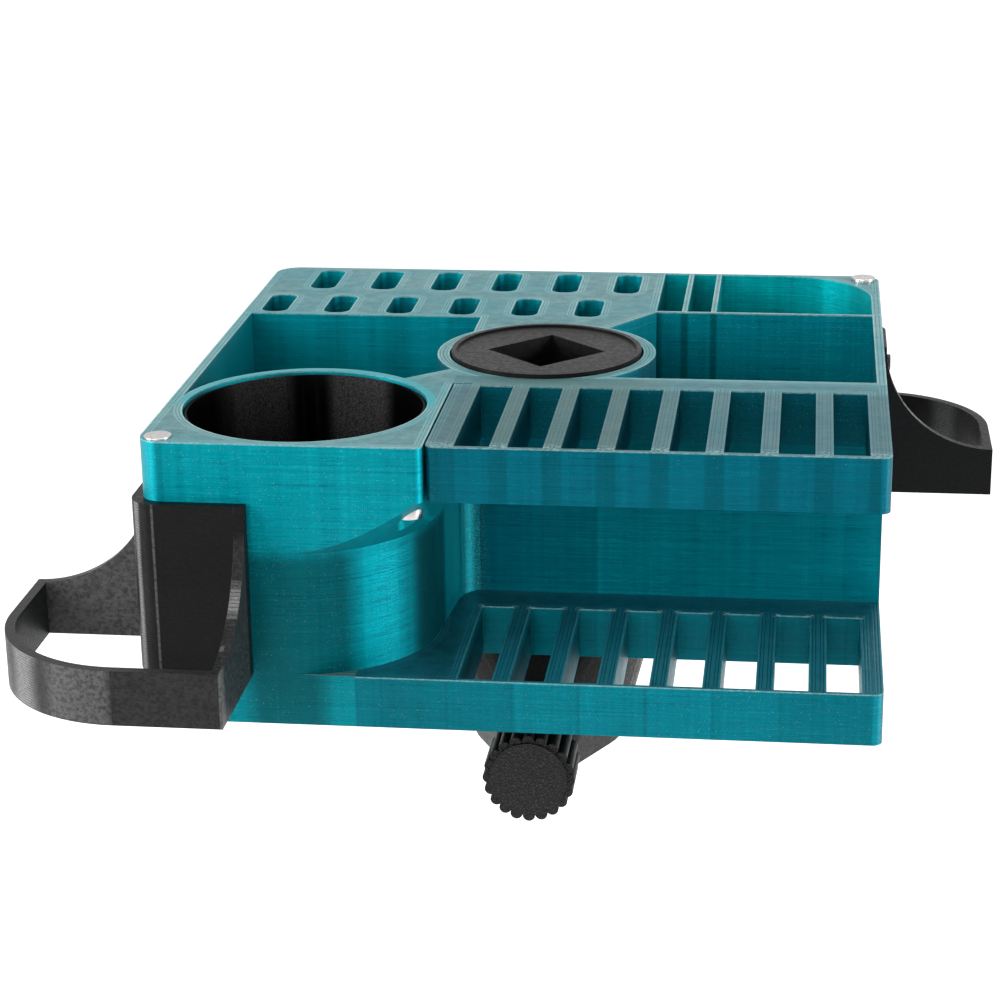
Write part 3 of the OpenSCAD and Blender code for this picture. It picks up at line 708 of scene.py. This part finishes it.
def bar_tops(x, y):
    """The bars are darker on top than the rail behind them."""
    return (y - upper_slots[1]).rise(-4.0, 1.0, 0.55, 1.0)


# The rack's upright faces are toned much darker, as painted shade.
dress("upper_rack", teal_print("teal_upper_rack", upper_edge, 0.34, bands=lip_bands,
                               top_tint=(0.46, 0.68, 0.76), tops=bar_tops,
                               specks=bar_ends, warm=warm_bars))


# The lower rack is a like comb with a deeper rail, round the foot of the cup.
lower_slots = (-99.8, -42.6)
lower_level = 15.6
patch_w = 19.0


def lower_edge(x, y):
    """Nearest of the slots, the rack's outer faces and the cup."""
    slots = abs(slots_edge(x, y, *lower_slots))
    faces = (y - body_front).low(body_right - x).low(recess_y - y)
    return slots.low(faces).low(abs(radius_from(x, y, cup_x, cup_y) - cup_out_r))


def lip_patches(x, y, z):
    """The lip's filling shows through as upright patches with slightly different tones and darker
    seams. The slots' walls behind the lip are darker, as painted shade, and a painted highlight
    line lies near the right end.
    """
    dice = (x * (1 / patch_w)).step("FLOOR").step("SINE")
    seam = from_nearest(x, 0.0, patch_w).rise(0.1, 0.9, 0.82, 1.0)
    inside = (y - body_front).rise(0.6, 1.4, 1.0, 0.8)
    return (dice * 0.15 + 0.96) * seam * inside + end_highlight(x) * 0.5


def slot_corners(x, y):
    """Pale specks of painted sparkle at the back corners of the lower slots."""
    at_side = abs(slot_offset(x) - slot_w / 2).rise(1.6, 0.6)
    return at_side * abs(y - lower_slots[1]).rise(1.8, 0.6, 0.0, 0.9)


# The rack's faces are toned darker, and its top much darker, as painted shade under the upper rack.
dress("lower_rack", teal_print("teal_lower_rack", lower_edge, 0.64, lower_level, lip_patches,
                               top_tint=(0.10, 0.45, 0.56), specks=slot_corners))


# The cup's liner is a black beaker that lifts out. Inside, two soft wedges of painted
# reflection make the wall at the back a grainy grey.
beaker_deep = (0.0006, 0.0006, 0.0006, 1)
beaker_reflection_grey = (0.050, 0.050, 0.050, 1)
beaker_edge_mm = 0.3


def beaker_black():
    """Smooth black plastic with two grainy wedges of painted reflection on the far side of the inner wall.
    """
    material, tree, shader = node_tree("beaker_black")
    x, y, z = place_mm(tree)
    across = (x - cup_x).step("DIVIDE", radius_from(x, y, cup_x, cup_y))
    left = across.rise(-0.92, -0.66) * across.rise(-0.24, -0.42)
    right = across.rise(-0.04, 0.12) * across.rise(0.66, 0.50)
    grain = cloud(tree, (0.5, 0.5, 0.5), 3.0, 0.7).rise(0.35, 0.65, 0.25, 1.0)
    painted_reflections = (left * 0.8 + right) * (y - cup_y).rise(0.0, 8.0) * grain
    put(tree, shader.inputs["Base Color"], blend_colour(tree, painted_reflections, beaker_deep, beaker_reflection_grey))
    shader.inputs["Roughness"].default_value = 0.35
    shader.inputs["Specular IOR Level"].default_value = 0.015
    return material


soften(dress("cup_liner", beaker_black()), beaker_edge_mm)


# The two tool loops are black prints, each held by two dark screws. The front loop's
# band was printed level and holds pale dust, with painted highlights on its round front,
# side web and edges; its plates are glossier.
loop_plate_t = 3.0
loop_edge_mm = 0.5
loop_corner_x = -75.3
bend_x = -101.6
side_web_y = -85.0
corner_reach = 34.0
screw_black = (0.035, 0.035, 0.036, 1)


def band_dust_and_highlight(x, y, face):
    """Pale dust and painted highlight on the front loop's band: a painted highlight on its round front,
    a painted sheen on the side web, a painted highlight line at its outer corner and an even share
    of dust elsewhere; on the plates only a painted highlight line where their bend ends."""
    past_side, past_front = body_left - x, body_front - y
    band = past_side.high(past_front).rise(loop_plate_t + 0.5, loop_plate_t + 2.0)
    round_front = face[0].rise(-0.55, -0.40) * face[0].rise(-0.01, -0.05) * face[1].rise(0.0, -0.3)
    side_web = face[1].rise(-0.8, -0.95) * (y - side_web_y).rise(0.0, 4.0)
    corner_line = abs(x - loop_corner_x).rise(0.6, 0.2) * past_front.rise(corner_reach, corner_reach + 4.0)
    bend_line = abs(x - bend_x).rise(0.55, 0.15) * face[1].rise(-0.5, -0.9) * 0.9
    light = (round_front * 0.75).high(side_web * 0.55).high(corner_line) + 0.24
    return light * band + bend_line * (1.0 - band)


soften(dress("front_tool_loop", black_print("black_band", dust_and_sheen_of=band_dust_and_highlight, glints=1.0)), loop_edge_mm)
soften(dress("rear_tool_loop", black_print("black_loop", glints=0.5)), loop_edge_mm)


def black_oxide():
    """Dark oxide on steel."""
    material, tree, shader = node_tree("black_oxide")
    shader.inputs["Base Color"].default_value = screw_black
    shader.inputs["Metallic"].default_value = 0.8
    put(tree, shader.inputs["Roughness"], cloud(tree, (1.2, 1.2, 1.2), 3.0).rise(0.3, 0.7, 0.35, 0.5))
    return material


soften(dress("loop_screws", black_oxide()), steel_edge_mm)


# The three disc magnets are nickel plated and glued into their pockets.
nickel_dull = (0.34, 0.33, 0.32, 1)
nickel_bright = (0.62, 0.61, 0.60, 1)
magnet_edge_mm = 0.15


def nickel_plate():
    """Bright nickel with faint scratches."""
    material, tree, shader = node_tree("nickel_plate")
    scratch = cloud(tree, (0.5, 4.0, 4.0), 4.0)
    put(tree, shader.inputs["Base Color"], blend_colour(tree, scratch, nickel_dull, nickel_bright))
    shader.inputs["Metallic"].default_value = 1.0
    put(tree, shader.inputs["Roughness"], scratch.rise(0.3, 0.7, 0.16, 0.34))
    bump(tree, shader, scratch, 0.01)
    return material


nickel = nickel_plate()
for magnet_node in ("front_magnet", "rear_magnet", "underside_magnet"):
    soften(dress(magnet_node, nickel), magnet_edge_mm)


# A pale floor and a soft light tent. What the camera sees of them directly, or mirrored
# in metal and gloss, is plain white, and the floor keeps the shadow.
floor_drop = 0.35
floor_half = 4.0
floor_glow = 0.95
tent_light = 0.13


def white_share(tree):
    """1 on camera, glossy and transmission rays, which see plain white, and 0 on the others."""
    rays = tree.nodes.new("ShaderNodeLightPath").outputs
    seen = Wire(tree, rays["Is Camera Ray"]).high(Wire(tree, rays["Is Glossy Ray"]))
    return seen.high(Wire(tree, rays["Is Transmission Ray"]))


def pale_floor():
    """A flat square below the clamp, white to the camera."""
    corners = [(-floor_half, -floor_half), (floor_half, -floor_half),
               (floor_half, floor_half), (-floor_half, floor_half)]
    mesh = bpy.data.meshes.new("floor")
    mesh.from_pydata([(cx, cy, -floor_drop) for cx, cy in corners], [], [(0, 1, 2, 3)])
    floor = bpy.data.objects.new("floor", mesh)
    bpy.context.scene.collection.objects.link(floor)
    material, tree, shader = node_tree("floor_paint")
    shader.inputs["Base Color"].default_value = (0.8, 0.8, 0.8, 1)
    shader.inputs["Roughness"].default_value = 0.9
    shader.inputs["Emission Color"].default_value = (1, 1, 1, 1)
    put(tree, shader.inputs["Emission Strength"], white_share(tree) * floor_glow)
    mesh.materials.append(material)


def tent_world():
    """An even pale world that is white behind the object and in its gloss."""
    world = bpy.data.worlds.new("tent")
    world.use_nodes = True
    bpy.context.scene.world = world
    tree = world.node_tree
    tree.nodes.clear()
    output = tree.nodes.new("ShaderNodeOutputWorld")
    sky = tree.nodes.new("ShaderNodeBackground")
    sky.inputs["Color"].default_value = (1, 1, 1, 1)
    put(tree, sky.inputs["Strength"], white_share(tree).rise(0.0, 1.0, tent_light, 1.0))
    tree.links.new(sky.outputs[0], output.inputs[0])


def soft_box(name, azimuth, elevation, distance, size, power):
    """A soft box that looks at the caddy; azimuth 0 is the front and 90 its right."""
    a, e = math.radians(azimuth), math.radians(elevation)
    place = Vector((math.sin(a) * math.cos(e), -math.cos(a) * math.cos(e), math.sin(e))) * distance
    data = bpy.data.lights.new(name, "AREA")
    data.shape = "RECTANGLE"
    data.size, data.size_y = size
    data.energy = power
    lamp = bpy.data.objects.new(name, data)
    turn = (-place).to_track_quat("-Z", "Y").to_matrix().to_4x4()
    lamp.matrix_world = Matrix.Translation(place) @ turn
    bpy.context.scene.collection.objects.link(lamp)


pale_floor()
tent_world()
soft_box("left_box", -62, 18, 1.2, (0.5, 0.9), 13)
soft_box("right_strip", 78, 7, 1.1, (0.22, 0.9), 9)
soft_box("front_box", -12, 22, 1.7, (1.0, 0.8), 7)
soft_box("top_box", 170, 66, 1.4, (0.8, 0.8), 6)
bpy.context.scene.view_settings.view_transform = "Standard"
